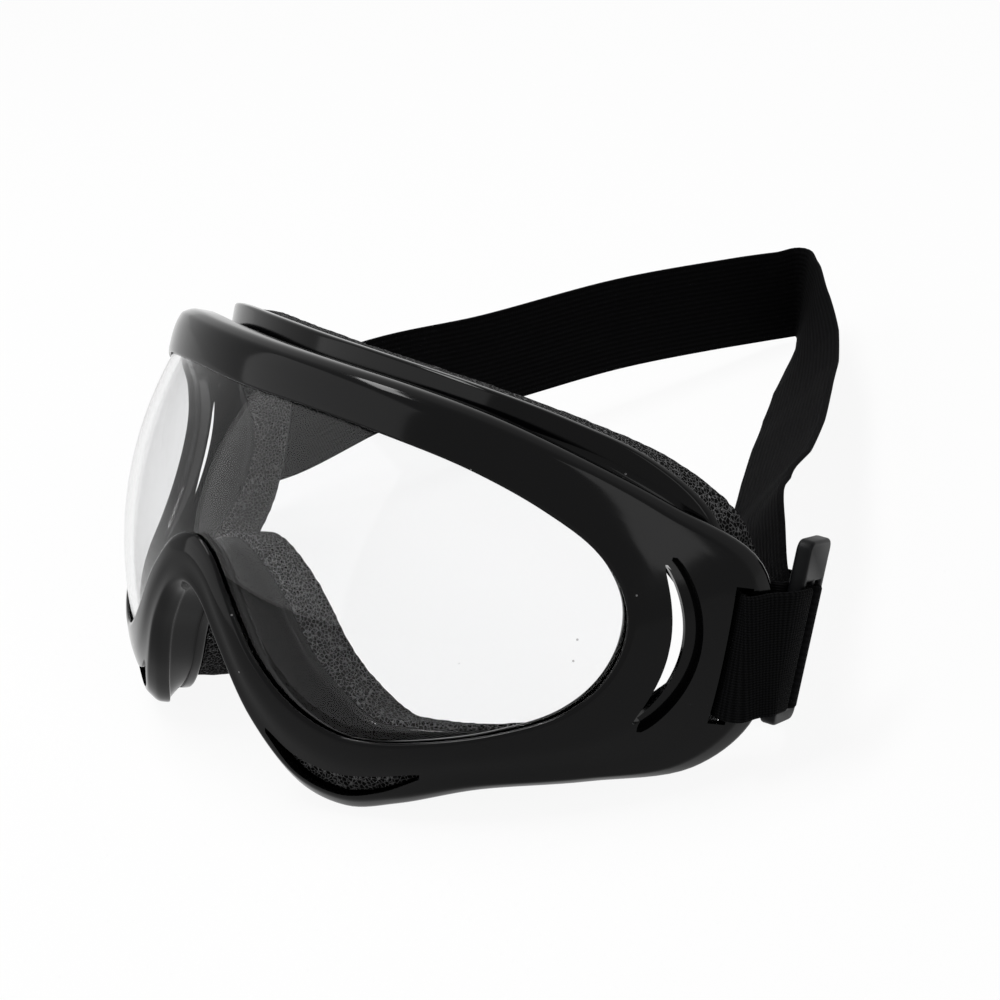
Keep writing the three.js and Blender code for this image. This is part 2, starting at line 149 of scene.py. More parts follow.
def applyModifier(piece, kind, **settings):
    activate(piece)
    modifier = piece.modifiers.new(kind.lower(), kind)
    for key, value in settings.items():
        setattr(modifier, key, value)
    bpy.ops.object.modifier_apply(modifier=modifier.name)


def smoothPiece(piece, degrees):
    activate(piece)
    bpy.ops.object.shade_smooth_by_angle(angle=math.radians(degrees))


print("camera")
view = {
    "place": (393.62, -280.87, 104.57), "ahead": (-0.72561, 0.66597, -0.17319),
    "up": (-0.25572, -0.02733, 0.96637), "lens": 87.14,
}
cameraData = bpy.data.cameras.new("camera")
cameraData.lens = view["lens"]
cameraData.sensor_width = 36
cameraData.clip_end = 10
camera = bpy.data.objects.new("camera", cameraData)
bpy.context.scene.collection.objects.link(camera)
ahead = leanPoint(view["ahead"]).normalized()
upward = leanPoint(view["up"]).normalized()
across = ahead.cross(upward).normalized()
upward = across.cross(ahead)
turn = Matrix((across, upward, -ahead)).transposed().to_4x4()
camera.matrix_world = Matrix.Translation(place(view["place"])) @ turn
bpy.context.scene.camera = camera

print("shader groups")


def newGroup(name, inputs, outputs):
    group = bpy.data.node_groups.new(name, "ShaderNodeTree")
    for label, kind, value in inputs:
        socket = group.interface.new_socket(label, in_out="INPUT", socket_type=kind)
        if value is not None:
            socket.default_value = value
    for label, kind in outputs:
        group.interface.new_socket(label, in_out="OUTPUT", socket_type=kind)
    source = group.nodes.new("NodeGroupInput")
    target = group.nodes.new("NodeGroupOutput")
    return group, source, target


def addNode(tree, kind, **settings):
    node = tree.nodes.new(kind)
    for key, value in settings.items():
        setattr(node, key, value)
    return node


def setInputs(node, **values):
    for key, value in values.items():
        node.inputs[key].default_value = value


# fine mottling of a moulded surface: roughness and height
def mouldedGroup():
    group, source, target = newGroup(
        "mouldedSkin",
        [("Vector", "NodeSocketVector", None), ("Scale", "NodeSocketFloat", 600.0),
         ("Low", "NodeSocketFloat", 0.2), ("High", "NodeSocketFloat", 0.3)],
        [("Roughness", "NodeSocketFloat"), ("Height", "NodeSocketFloat")])
    fine = addNode(group, "ShaderNodeTexNoise")
    fine.inputs["Detail"].default_value = 4
    broad = addNode(group, "ShaderNodeTexNoise")
    broad.inputs["Scale"].default_value = 45
    spread = addNode(group, "ShaderNodeMapRange")
    group.links.new(source.outputs["Vector"], fine.inputs["Vector"])
    group.links.new(source.outputs["Scale"], fine.inputs["Scale"])
    group.links.new(source.outputs["Vector"], broad.inputs["Vector"])
    group.links.new(broad.outputs["Fac"], spread.inputs["Value"])
    group.links.new(source.outputs["Low"], spread.inputs["To Min"])
    group.links.new(source.outputs["High"], spread.inputs["To Max"])
    spread.inputs["From Min"].default_value = 0.3
    spread.inputs["From Max"].default_value = 0.7
    group.links.new(spread.outputs["Result"], target.inputs["Roughness"])
    group.links.new(fine.outputs["Fac"], target.inputs["Height"])
    return group


# dust motes: a mask of sparse small specks
def speckGroup():
    group, source, target = newGroup(
        "dustSpecks",
        [("Vector", "NodeSocketVector", None), ("Scale", "NodeSocketFloat", 300.0),
         ("Size", "NodeSocketFloat", 0.1), ("Share", "NodeSocketFloat", 0.1)],
        [("Mask", "NodeSocketFloat")])
    cells = addNode(group, "ShaderNodeTexVoronoi")
    near = addNode(group, "ShaderNodeMath", operation="LESS_THAN")
    split = addNode(group, "ShaderNodeSeparateColor")
    some = addNode(group, "ShaderNodeMath", operation="LESS_THAN")
    both = addNode(group, "ShaderNodeMath", operation="MULTIPLY")
    group.links.new(source.outputs["Vector"], cells.inputs["Vector"])
    group.links.new(source.outputs["Scale"], cells.inputs["Scale"])
    group.links.new(cells.outputs["Distance"], near.inputs[0])
    group.links.new(source.outputs["Size"], near.inputs[1])
    group.links.new(cells.outputs["Color"], split.inputs["Color"])
    group.links.new(split.outputs["Red"], some.inputs[0])
    group.links.new(source.outputs["Share"], some.inputs[1])
    group.links.new(near.outputs["Value"], both.inputs[0])
    group.links.new(some.outputs["Value"], both.inputs[1])
    group.links.new(both.outputs["Value"], target.inputs["Mask"])
    return group


# lengthwise ribs and crosswise picks of woven elastic, from a UV in metres: height, and a shade mask that
# paints shade into the grooves and a highlight on the rib crests
def webbingGroup():
    group, source, target = newGroup(
        "elasticWeave",
        [("UV", "NodeSocketVector", None), ("Ribs", "NodeSocketFloat", 900.0),
         ("Picks", "NodeSocketFloat", 1400.0), ("Pick depth", "NodeSocketFloat", 0.4)],
        [("Height", "NodeSocketFloat"), ("Shade", "NodeSocketFloat")])
    split = addNode(group, "ShaderNodeSeparateXYZ")
    group.links.new(source.outputs["UV"], split.inputs["Vector"])
    waves = []
    for axis, label in (("X", "Ribs"), ("Y", "Picks")):
        scaled = addNode(group, "ShaderNodeMath", operation="MULTIPLY")
        group.links.new(split.outputs[axis], scaled.inputs[0])
        group.links.new(source.outputs[label], scaled.inputs[1])
        turned = addNode(group, "ShaderNodeMath", operation="MULTIPLY")
        group.links.new(scaled.outputs["Value"], turned.inputs[0])
        turned.inputs[1].default_value = 2 * math.pi
        wave = addNode(group, "ShaderNodeMath", operation="SINE")
        group.links.new(turned.outputs["Value"], wave.inputs[0])
        waves.append(wave)
    crossed = addNode(group, "ShaderNodeMath", operation="MULTIPLY")
    group.links.new(waves[1].outputs["Value"], crossed.inputs[0])
    group.links.new(source.outputs["Pick depth"], crossed.inputs[1])
    total = addNode(group, "ShaderNodeMath", operation="ADD")
    group.links.new(waves[0].outputs["Value"], total.inputs[0])
    group.links.new(crossed.outputs["Value"], total.inputs[1])
    shade = addNode(group, "ShaderNodeMapRange")
    shade.inputs["From Min"].default_value = -1.3
    shade.inputs["From Max"].default_value = 1.3
    group.links.new(total.outputs["Value"], shade.inputs["Value"])
    group.links.new(total.outputs["Value"], target.inputs["Height"])
    group.links.new(shade.outputs["Result"], target.inputs["Shade"])
    return group


# open cells of foam: height, and a shade mask that paints shade into the cell hollows and a highlight on the
# struts
def foamGroup():
    group, source, target = newGroup(
        "openCells",
        [("Vector", "NodeSocketVector", None), ("Scale", "NodeSocketFloat", 1500.0)],
        [("Height", "NodeSocketFloat"), ("Shade", "NodeSocketFloat")])
    cells = addNode(group, "ShaderNodeTexVoronoi", feature="DISTANCE_TO_EDGE")
    group.links.new(source.outputs["Vector"], cells.inputs["Vector"])
    group.links.new(source.outputs["Scale"], cells.inputs["Scale"])
    rim = addNode(group, "ShaderNodeMapRange")
    rim.inputs["From Max"].default_value = 0.13
    rim.inputs["To Min"].default_value = 1
    rim.inputs["To Max"].default_value = 0
    group.links.new(cells.outputs["Distance"], rim.inputs["Value"])
    group.links.new(rim.outputs["Result"], target.inputs["Height"])
    group.links.new(rim.outputs["Result"], target.inputs["Shade"])
    return group


groups = {
    "moulded": mouldedGroup(), "specks": speckGroup(),
    "webbing": webbingGroup(), "foam": foamGroup(),
}


def newMaterial(name):
    material = bpy.data.materials.new(name)
    material.use_nodes = True
    tree = material.node_tree
    shader = tree.nodes["Principled BSDF"]
    spot = addNode(tree, "ShaderNodeTexCoord")
    return material, tree, shader, spot


def useGroup(tree, key, **values):
    node = addNode(tree, "ShaderNodeGroup", node_tree=groups[key])
    setInputs(node, **values)
    return node


def addBump(tree, shader, height, strength, distance):
    bump = addNode(tree, "ShaderNodeBump")
    bump.inputs["Strength"].default_value = strength
    bump.inputs["Distance"].default_value = distance
    tree.links.new(height, bump.inputs["Height"])
    tree.links.new(bump.outputs["Normal"], shader.inputs["Normal"])


def mixColours(tree, mask, low, high):
    mix = addNode(tree, "ShaderNodeMix", data_type="RGBA")
    mix.inputs["A"].default_value = (*low, 1)
    mix.inputs["B"].default_value = (*high, 1)
    tree.links.new(mask, mix.inputs["Factor"])
    return mix.outputs["Result"]


def mouldedMaterial(name, settings):
    material, tree, shader, spot = newMaterial(name)
    skin = useGroup(tree, "moulded", Scale=settings["grain"], Low=settings["low"], High=settings["high"])
    dust = useGroup(tree, "specks", Scale=420, Size=0.09, Share=settings["dust"])
    tree.links.new(spot.outputs["Object"], skin.inputs["Vector"])
    tree.links.new(spot.outputs["Object"], dust.inputs["Vector"])
    colour = mixColours(tree, dust.outputs["Mask"], settings["colour"], (0.16, 0.16, 0.16))
    tree.links.new(colour, shader.inputs["Base Color"])
    tree.links.new(skin.outputs["Roughness"], shader.inputs["Roughness"])
    shader.inputs["Specular IOR Level"].default_value = settings["gloss"]
    addBump(tree, shader, skin.outputs["Height"], settings["bump"], 0.0001)
    return material


def lensMaterial(settings):
    material, tree, shader, spot = newMaterial("clearLens")
    haze = useGroup(tree, "moulded", Scale=90, Low=settings["low"], High=settings["high"])
    dust = useGroup(tree, "specks", Scale=230, Size=0.055, Share=0.05)
    tree.links.new(spot.outputs["Object"], haze.inputs["Vector"])
    tree.links.new(spot.outputs["Object"], dust.inputs["Vector"])
    colour = mixColours(tree, dust.outputs["Mask"], settings["tint"], (0.25, 0.25, 0.25))
    tree.links.new(colour, shader.inputs["Base Color"])
    tree.links.new(haze.outputs["Roughness"], shader.inputs["Roughness"])
    shader.inputs["IOR"].default_value = settings["ior"]
    shader.inputs["Transmission Weight"].default_value = 1
    return material


def webbingMaterial(name, settings):
    material, tree, shader, spot = newMaterial(name)
    weave = useGroup(tree, "webbing", Ribs=settings["ribs"], Picks=settings["picks"])
    weave.inputs["Pick depth"].default_value = settings["pickDepth"]
    tree.links.new(spot.outputs["UV"], weave.inputs["UV"])
    # colour of the weave: painted shade in the grooves, painted highlight on the rib crests
    colour = mixColours(tree, weave.outputs["Shade"], settings["grooveShade"], settings["light"])
    tree.links.new(colour, shader.inputs["Base Color"])
    shader.inputs["Roughness"].default_value = 0.92
    shader.inputs["Specular IOR Level"].default_value = 0.04
    shader.inputs["Sheen Weight"].default_value = settings["sheen"]
    addBump(tree, shader, weave.outputs["Height"], settings["bump"], 0.0002)
    return material


def foamMaterial(settings):
    material, tree, shader, spot = newMaterial("openCellFoam")
    cells = useGroup(tree, "foam", Scale=settings["cells"])
    tree.links.new(spot.outputs["Object"], cells.inputs["Vector"])
    # colour of the foam: painted shade in the cell hollows, painted highlight on the struts
    colour = mixColours(tree, cells.outputs["Shade"], settings["hollowShade"], settings["strutHighlight"])
    tree.links.new(colour, shader.inputs["Base Color"])
    shader.inputs["Roughness"].default_value = 0.9
    shader.inputs["Specular IOR Level"].default_value = 0.06
    addBump(tree, shader, cells.outputs["Height"], 0.8, 0.0004)
    return material


materials = {
    "frame": mouldedMaterial("glossyMoulding", {
        "grain": 900, "low": 0.07, "high": 0.13, "dust": 0.02,
        "colour": (0.0012, 0.0012, 0.0014), "gloss": 0.13, "bump": 0.01}),
    "slider": mouldedMaterial("sliderNylon", {
        "grain": 1500, "low": 0.34, "high": 0.46, "dust": 0.02,
        "colour": (0.003, 0.0032, 0.0037), "gloss": 0.09, "bump": 0.12}),
    "lens": lensMaterial({"low": 0.0, "high": 0.015, "tint": (0.937, 0.939, 0.943), "ior": 1.22}),
    # strap and loop webbing: black, with painted shade in the grooves and a painted highlight on the rib
    # crests
    "strap": webbingMaterial("strapWebbing", {
        "ribs": 760, "picks": 1500, "pickDepth": 0.3, "bump": 0.35, "sheen": 0.0,
        "grooveShade": (0.0009, 0.0009, 0.001), "light": (0.004, 0.004, 0.0044)}),
    "loop": webbingMaterial("loopWebbing", {
        "ribs": 1900, "picks": 1300, "pickDepth": 1.0, "bump": 0.5, "sheen": 0.0,
        "grooveShade": (0.0006, 0.0006, 0.0007), "light": (0.005, 0.005, 0.0054)}),
    # foam: black, with painted shade in the cell hollows and a grey painted highlight on the struts
    "foam": foamMaterial({"cells": 1150, "hollowShade": (0.0015, 0.0015, 0.0015), "strutHighlight": (0.2, 0.2, 0.203)}),
}

print("frame")
# half rows from the middle of the brow round the wearer's left temple to the nose bridge:
# visible lens edge, outline, flange, mouth, inset of the wall, step of the flange, crown, depth
frameShape = {
    "wall": 2.5, "lip": 1.2, "fit": 0.25, "groove": 1.9, "lensThickness": 2.0, "perSpan": 8,
    "rows": [
        ((0, 33.8), (0, 42.3), (0, 25, 44.5), (0, 24, 33.5), 4.6, 6, 3.4, 5.2),
        ((20, 33.8), (22, 42.1), (20, 27, 44.3), (19, 26, 33.3), 4.6, 6, 3.4, 5.2),
        ((40, 32.7), (42, 41.4), (40, 33.5, 43.2), (37, 31.5, 32), 4.6, 6, 3.4, 5.2),
        ((60, 30.1), (62, 39.4), (57, 43, 40.8), (52, 39.5, 29), 4.6, 5.5, 3.3, 5.2),
        ((77, 25.2), (82, 35.2), (70, 54, 36.6), (64, 49, 24.5), 4.6, 5, 3.1, 4.6),
        ((89, 19), (102, 29.3), (79, 64, 28.5), (73, 59, 17), 4.6, 3, 2.6, 3.2),
        ((96, 10.5), (123, 20.5), (82, 70, 16.5), (77, 66, 9), 8, 0.6, 1.9, 2),
        ((97.3, 2), (128.5, 3), (82, 71, 2), (77.5, 67.5, 2), 13, 0.6, 1.5, 1.6),
        ((94.5, -7), (127.3, -12), (81, 69.5, -13), (76.5, 65.5, -7), 12.5, 0.6, 1.5, 1.6),
        ((88, -14.5), (118, -22.3), (76.5, 62, -22.5), (71, 57.5, -14.5), 7, 0.6, 1.5, 2),
        ((76, -21), (97, -27.8), (67.5, 51, -28.6), (62, 47, -20), 2, 0.6, 1.6, 4.6),
        ((63, -26), (75, -33.5), (56, 40, -34.3), (51, 36.5, -24.5), 0.8, 0.6, 1.6, 4.6),
        ((51, -29.4), (57, -41.2), (46, 32.5, -39.6), (42.5, 31, -26.5), 0.8, 0.6, 1.6, 4.6),
        ((41.5, -30), (44, -45.3), (37, 28.8, -42.6), (35, 28, -27.5), 0.8, 0.6, 1.6, 4.6),
        ((31, -26.8), (31.5, -43.4), (28, 25.8, -41.2), (27.5, 25, -24.5), 0.8, 0.6, 1.6, 4.6),
        ((21.8, -20.2), (20.5, -33.8), (19, 21, -34), (21, 20, -18), 0.8, 0.6, 1.6, 4.6),
        ((12.5, -8.6), (11.5, -20.2), (11, 15.5, -20.8), (13, 15, -7), 0.8, 0.6, 1.6, 4.6),
        ((6.2, -2), (5.2, -12.2), (5, 13, -12.8), (6.8, 12.5, -1.5), 0.8, 0.6, 1.6, 4.6),
        ((0, 0.2), (0, -10), (0, 12.5, -10.6), (0, 12, 0.6), 0.8, 0.6, 1.6, 4.6),
    ],
}


def loopOf(pick):
    left = [pick(row) for row in frameShape["rows"]]
    right = [Vector((-p.x, p.y, p.z)) for p in reversed(left[1:-1])]
    return smoothLine(left + right, frameShape["perSpan"], True)


lensLine = loopOf(lambda row: Vector((row[0][0], row[0][1], 0)))
bodyLine = loopOf(lambda row: Vector((row[1][0], row[1][1], 0)))
flangeLine = loopOf(lambda row: Vector(row[2]))
mouthLine = loopOf(lambda row: Vector(row[3]))
wallLine = loopOf(lambda row: Vector((0, row[4], row[5])))
plateLine = loopOf(lambda row: Vector((0, row[6], row[7])))


# round each corner of a closed ring; radii in millimetres, one for each corner
def roundRing(ring, radii):
    rounded = []
    count = len(ring)
    for i, corner in enumerate(ring):
        before, after = ring[i - 1], ring[(i + 1) % count]
        first, second = before - corner, after - corner
        a = min(radii[i], first.length * 0.45)
        b = min(radii[i], second.length * 0.45)
        start = corner + first.normalized() * a
        end = corner + second.normalized() * b
        for k in range(4):
            t = k / 3
            rounded.append(start * (1 - t) ** 2 + corner * 2 * t * (1 - t) + end * t * t)
    return rounded


def frameRing(i):
    edge, outline = lensLine[i], bodyLine[i]
    away = outline - edge
    width = away.length
    away.normalize()
    inset, step = wallLine[i].y, wallLine[i].z
    crown, back = plateLine[i].y, plateLine[i].z
    wall, fit, reach = frameShape["wall"], frameShape["fit"], frameShape["groove"]
    lip = frameShape["lip"]

    def at(a, out):
        return frontPoint(edge.x + away.x * a, edge.y + away.y * a, out)

    flange, mouth = flangeLine[i], mouthLine[i]
    inward = (mouth - flange).normalized()
    thick = Vector((0, wall, 0))
    outerRoot = flange + inward * step
    innerRoot = outerRoot + inward * wall
    inner = max(width - inset - wall, reach + 0.4)
    seat = min(reach + 2.4, inner - 0.2)
    groove = frameShape["lensThickness"] + fit
    corners = [
        (at(-lip, fit), 0.2), (at(-lip, fit + 0.6), 0.3), (at(-0.2, fit + 1.1), 0.6),
        (at(width * 0.3, 1.2 + crown * 0.35), 2.0), (at(width * 0.6, crown - 0.2), 2.0),
        (at(width * 0.86, crown), 0.7), (at(width, crown - 1.7), 1.0),
        (at(width, -back * 0.5 - 0.5), 0.8), (at(width - inset, -back * 0.5 - 0.6), 0.8),
        (outerRoot - thick, 1.2), (flange - thick, 0.7), (flange, 0.7), (mouth, 0.7),
        (mouth - thick, 0.7), (innerRoot - thick, 1.2), (at(inner, -back), 0.8),
        (at(min(seat + 1.4, inner - 0.1), -back), 0.4), (at(seat, -groove - 1.8), 0.5),
        (at(-lip, -groove - 1.6), 0.4), (at(-lip, -groove), 0.2),
        (at(reach, -groove), 0.2), (at(reach, fit), 0.2),
    ]
    ring = roundRing([c[0] for c in corners], [c[1] for c in corners])
    return [place(p) for p in ring]


frameShell = skinPiece("frameShell", [frameRing(i) for i in range(len(lensLine))], True)

openings = {
    "pocket": {"middle": 108.4, "bow": 5.4, "up": 2.4, "half": 17.6, "width": 3.3},
    "side": {"middle": 106.9, "bow": 5.4, "up": 2.4, "half": 16, "width": 1.8},
    "lower": {"line": [(24.5, -33.2), (32, -38.4), (43, -39.9), (52.5, -37.4), (61.5, -33.2)], "width": 2.4},
    "strap": {"middle": 118.7, "half": 1.9, "up": 2, "tall": 13.9},
}


# a cutter through the front along a line of (round, up, half width)
def frontCutter(name, line, direction, inside, outside):
    rings = []
    for around, up, half in line:
        lowA, lowB = around - direction[0] * half, up - direction[1] * half
        highA, highB = around + direction[0] * half, up + direction[1] * half
        rings.append([place(frontPoint(*p)) for p in (
            (lowA, lowB, inside), (highA, highB, inside), (highA, highB, outside), (lowA, lowB, outside))])
    return skinPiece(name, rings, False)


def sideLine(side, shape):
    line = []
    for i in range(41):
        f = -1 + i / 20
        line.append((side * (shape["middle"] - shape["bow"] * f * f), shape["up"] + shape["half"] * f,
                     shape["width"] * math.sqrt(1.02 - f * f)))
    return line


def lowerLine(side, shape, width):
    middle = smoothLine([Vector((a, b, 0)) for a, b in shape["line"]], 8, False)
    count = len(middle) - 1
    return [(side * p.x, p.y, width * math.sin(math.pi * (0.04 + 0.92 * i / count)) ** 0.7)
            for i, p in enumerate(middle)]


for side in (-1, 1):
    slotShape = openings["strap"]
    slotLine = []
    for i in range(13):
        height = slotShape["up"] + slotShape["tall"] * (i / 6 - 1)
        slotLine.append((side * slotShape["middle"], height, slotShape["half"]))
    lowerShape = openings["lower"]
    cutters = [
        frontCutter("pocketCutter", sideLine(side, openings["pocket"]), (1, 0), -0.5, 8),
        frontCutter("sideCutter", sideLine(side, openings["side"]), (1, 0), -10, 8),
        frontCutter("lowerCutter", lowerLine(side, lowerShape, lowerShape["width"]), (0, 1), -5.8, 6),
        frontCutter("slotCutter", slotLine, (1, 0), -8, 8),
    ]
    for cutter in cutters:
        applyModifier(frameShell, "BOOLEAN", operation="DIFFERENCE", object=cutter, solver="EXACT")
        bpy.data.objects.remove(cutter)
smoothPiece(frameShell, 38)
frameShell.data.materials.clear()
frameShell.data.materials.append(materials["frame"])
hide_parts("frame")
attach(frameShell, "front")

print("lens")
lensShape = {"reach": 1.3, "columns": 120, "across": 24, "thickness": 2.0}


def lensHeights(around):
    reach = lensShape["reach"]
    tops, bottoms = [], []
    count = len(lensLine)
    line = []
    for edge, outline in zip(lensLine, bodyLine):
        away = (outline - edge).normalized()
        line.append(edge + away * reach)
    for i in range(count):
        a, b = line[i], line[(i + 1) % count]
        if (a.x - around) * (b.x - around) <= 0 and abs(a.x - b.x) > 1e-9:
            t = (around - a.x) / (b.x - a.x)
            up = a.y + (b.y - a.y) * t
            upper = i < count * 7 / 36 or i >= count * 29 / 36
            (tops if upper else bottoms).append(up)
    return max(tops, default=2.0), min(bottoms, default=2.0)


def lensRings():
    widest = max(p.x for p in lensLine) + lensShape["reach"] - 0.05
    rings = []
    for i in range(lensShape["columns"] + 1):
        around = widest * 0.9995 * math.sin(math.pi * (i / lensShape["columns"] - 0.5))
        top, bottom = lensHeights(around)
        heights = [bottom + (top - bottom) * j / lensShape["across"] for j in range(lensShape["across"] + 1)]
        ring = [place(frontPoint(around, up, 0)) for up in heights]
        ring += [place(frontPoint(around, up, -lensShape["thickness"])) for up in reversed(heights)]
        rings.append(ring)
    return rings


lensSheet = skinPiece("lensSheet", lensRings(), False)
smoothPiece(lensSheet, 40)
lensSheet.data.materials.append(materials["lens"])
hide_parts("lens")
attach(lensSheet, "front")

print("foam")
foamShape = {"gap": 0.3, "depth": 10, "soft": 1.6, "lowest": -37}


def foamRing(i):
    flange, mouth = flangeLine[i], mouthLine[i]
    inward = (mouth - flange).normalized()
    outer, inner = flange + inward, mouth + inward * 1.2
    outer.z = max(outer.z, foamShape["lowest"])
    deep = Vector((0, foamShape["depth"], 0))
    near = Vector((0, foamShape["gap"], 0))
    ring = roundRing([outer + near, outer + deep, inner + deep, inner + near],
                     [0.3, foamShape["soft"], foamShape["soft"], 0.3])
    return [place(p) for p in ring]


faceFoam = skinPiece("faceFoam", [foamRing(i) for i in range(len(flangeLine))], True)
applyModifier(faceFoam, "SUBSURF", levels=1, render_levels=1)
cellNoise = bpy.data.textures.new("foamSurface", "CLOUDS")
cellNoise.noise_scale = 0.0016
applyModifier(faceFoam, "DISPLACE", texture=cellNoise, strength=0.0005, mid_level=0.6, texture_coords="LOCAL")
smoothPiece(faceFoam, 60)
faceFoam.data.materials.append(materials["foam"])
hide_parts("face_foam")
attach(faceFoam, "front")

for side, sideName in ((1, "left"), (-1, "right")):
    line = lowerLine(side, openings["lower"], 1.9)[1:-1]
    rings = []
    for around, up, half in line:
        ring = roundRing([frontPoint(around, up - half, -1.6), frontPoint(around, up + half, -1.6),
                          frontPoint(around, up + half, -5), frontPoint(around, up - half, -5)], [0.5] * 4)
        rings.append([place(p) for p in ring])
    ventFoam = skinPiece("ventFoam" + sideName.capitalize(), rings, False)
    applyModifier(ventFoam, "DISPLACE", texture=cellNoise, strength=0.0004, mid_level=0.6,
                  texture_coords="LOCAL")
    smoothPiece(ventFoam, 60)
    ventFoam.data.materials.append(materials["foam"])
    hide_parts("vent_foam_" + sideName)
    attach(ventFoam, "front")

print("slider")
slider = {
    "start": (89.8, 80.2, 4.4), "heading": 112, "raise": 2.8, "bar": 1.9, "window": 3.2,
    "thickness": 3.2, "height": 38, "windowHeight": 26.4, "corner": 2.2, "edge": 0.6,
}
pitch = slider["bar"] + slider["window"]
heading = math.radians(slider["heading"])
sliderAhead = Vector((math.cos(heading), math.sin(heading), 0))
sliderSide = Vector((sliderAhead.y, -sliderAhead.x, 0))


def sliderPoint(along, out):
    return Vector(slider["start"]) + sliderAhead * along + sliderSide * out


def makeSlider():
    length = 3 * slider["bar"] + 2 * slider["window"]
    deselectAll()
    bpy.ops.mesh.primitive_cube_add(size=1, location=(length / 2 - slider["bar"] / 2, 0, 0))
    plate = bpy.context.active_object
    plate.name = "sliderPlate"
    plate.scale = (length, slider["thickness"], slider["height"])
    bpy.ops.object.transform_apply(location=True, rotation=False, scale=True)
    bm = bmesh.new()
    bm.from_mesh(plate.data)
    upright = [e for e in bm.edges if abs((e.verts[0].co - e.verts[1].co).normalized().y) > 0.9]
    bmesh.ops.bevel(bm, geom=upright, offset=slider["corner"], segments=6, affect="EDGES", profile=0.5)
    bm.to_mesh(plate.data)
    bm.free()
    for i in range(2):
        deselectAll()
        bpy.ops.mesh.primitive_cube_add(size=1, location=(pitch / 2 + i * pitch, 0, -slider["raise"]))
        window = bpy.context.active_object
        window.scale = (slider["window"], 20, slider["windowHeight"])
        bpy.ops.object.transform_apply(location=True, rotation=False, scale=True)
        applyModifier(plate, "BOOLEAN", operation="DIFFERENCE", object=window, solver="EXACT")
        bpy.data.objects.remove(window)
    applyModifier(plate, "BEVEL", width=slider["edge"], segments=3, limit_method="ANGLE", angle_limit=0.6)
    for vertex in plate.data.vertices:
        local = vertex.co.copy()
        world = sliderPoint(local.x, local.y)
        vertex.co = place((world.x, world.y, slider["start"][2] + slider["raise"] + local.z))
    bm = bmesh.new()
    bm.from_mesh(plate.data)
    bmesh.ops.recalc_face_normals(bm, faces=bm.faces)
    bm.to_mesh(plate.data)
    bm.free()
    smoothPiece(plate, 35)
    plate.data.materials.append(materials["slider"])
    return plate


sliderPlate = makeSlider()
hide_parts("slider_left")
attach(sliderPlate, "slider")

print("webbing")
web = {
    "width": 25.4, "thickness": 1.2, "height": 2, "out": 2.7, "inside": -3.9, "slot": 118.7,
    "wingEnd": 128.5, "wing": 124.5,
}


# a flat band with rounded selvages; the UV holds metres across and along
def bandPiece(name, centres, widths, closed, first=0, last=None):
    count = len(centres)
    halfW, halfT = web["width"] / 2 * mm, web["thickness"] / 2 * mm
    profile = []
    across = 16
    for i in range(across + 1):
        a = -1 + 2 * i / across
        profile.append((a * (halfW - halfT), 1))
    for i in range(1, 4):
        angle = math.pi * i / 4
        profile.append(((halfW - halfT) + halfT * math.sin(angle), math.cos(angle)))
    for i in range(across + 1):
        a = 1 - 2 * i / across
        profile.append((a * (halfW - halfT), -1))
    for i in range(1, 4):
        angle = math.pi * i / 4
        profile.append((-(halfW - halfT) - halfT * math.sin(angle), -math.cos(angle)))
    rings, lengths, run = [], [], 0.0
    for i, centre in enumerate(centres):
        before = centres[i - 1] if closed or i > 0 else centre
        after = centres[(i + 1) % count] if closed or i + 1 < count else centre
        tangent = (after - before).normalized()
        up = (widths[i] - tangent * widths[i].dot(tangent)).normalized()
        out = tangent.cross(up).normalized()
        if i:
            run += (centre - centres[i - 1]).length
        lengths.append(run)
        rings.append([centre + up * a + out * (b * halfT) for a, b in profile])
    rings, lengths = rings[first:last], lengths[first:last]
    piece = skinPiece(name, rings, closed)
    layer = piece.data.uv_layers.new(name="weave")
    size = len(profile)
    total = run + (centres[0] - centres[-1]).length
    for polygon in piece.data.polygons:
        rows = [piece.data.loops[k].vertex_index // size for k in polygon.loop_indices]
        wraps = closed and max(rows) - min(rows) > 1
        for k in polygon.loop_indices:
            index = piece.data.loops[k].vertex_index
            row, column = divmod(index, size)
            v = total if wraps and row == 0 else lengths[row]
            layer.data[k].uv = (profile[column][0] + halfW, v)
    smoothPiece(piece, 60)
    return piece, lengths[-1] - lengths[0]


# a point of webbing on the temple: round the front, height of its middle, and depth
def templeWeb(around, up, out):
    p = frontPoint(around, web["height"], out)
    p.z = up
    return p


clear = slider["thickness"] / 2 + 0.3 + web["thickness"] / 2
slotAt, wingAt, overWing = web["slot"], web["wingEnd"], web["wing"]
outAt, inAt, midAt = web["out"], web["inside"], web["height"]
loopPoints = [
    templeWeb(slotAt, midAt, -1.8), templeWeb(slotAt, midAt, 0.6),
    templeWeb(slotAt + 1.4, midAt + 0.2, outAt), templeWeb(overWing, 3.3, outAt + 0.1),
    templeWeb(wingAt, 4.1, outAt), sliderPoint(-0.9, clear + 0.1), sliderPoint(1.2, clear - 0.1),
    sliderPoint(1.85, 0.9), sliderPoint(1.85, -0.9), sliderPoint(1.2, -clear + 0.1),
    sliderPoint(-0.2, -clear), templeWeb(wingAt, 4.2, inAt - 0.1), templeWeb(overWing, 3.2, inAt),
    templeWeb(slotAt + 1.5, midAt + 0.2, inAt),
]
loopCentres = [place(p) for p in smoothLine(loopPoints, 10, True)]
loopWidths = [leanPoint((0, 0, 1)) for p in loopCentres]
strapLoop, loopLength = bandPiece("strapLoop", loopCentres, loopWidths, True)
strapLoop.data.materials.append(materials["loop"])
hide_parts("strap_loop_left")


def onSlider(ahead, out):
    return leanPoint(sliderPoint(ahead, out)), leanPoint((0, 0, 1))


def onTemple(around, up, out):
    p = templeWeb(around, up, out)
    return leanPoint((-p.x, p.y, p.z)), leanPoint((0, 0, 1))


def free(x, y, z, a, b, c):
    return Vector((x, y, z)), Vector((a, b, c))


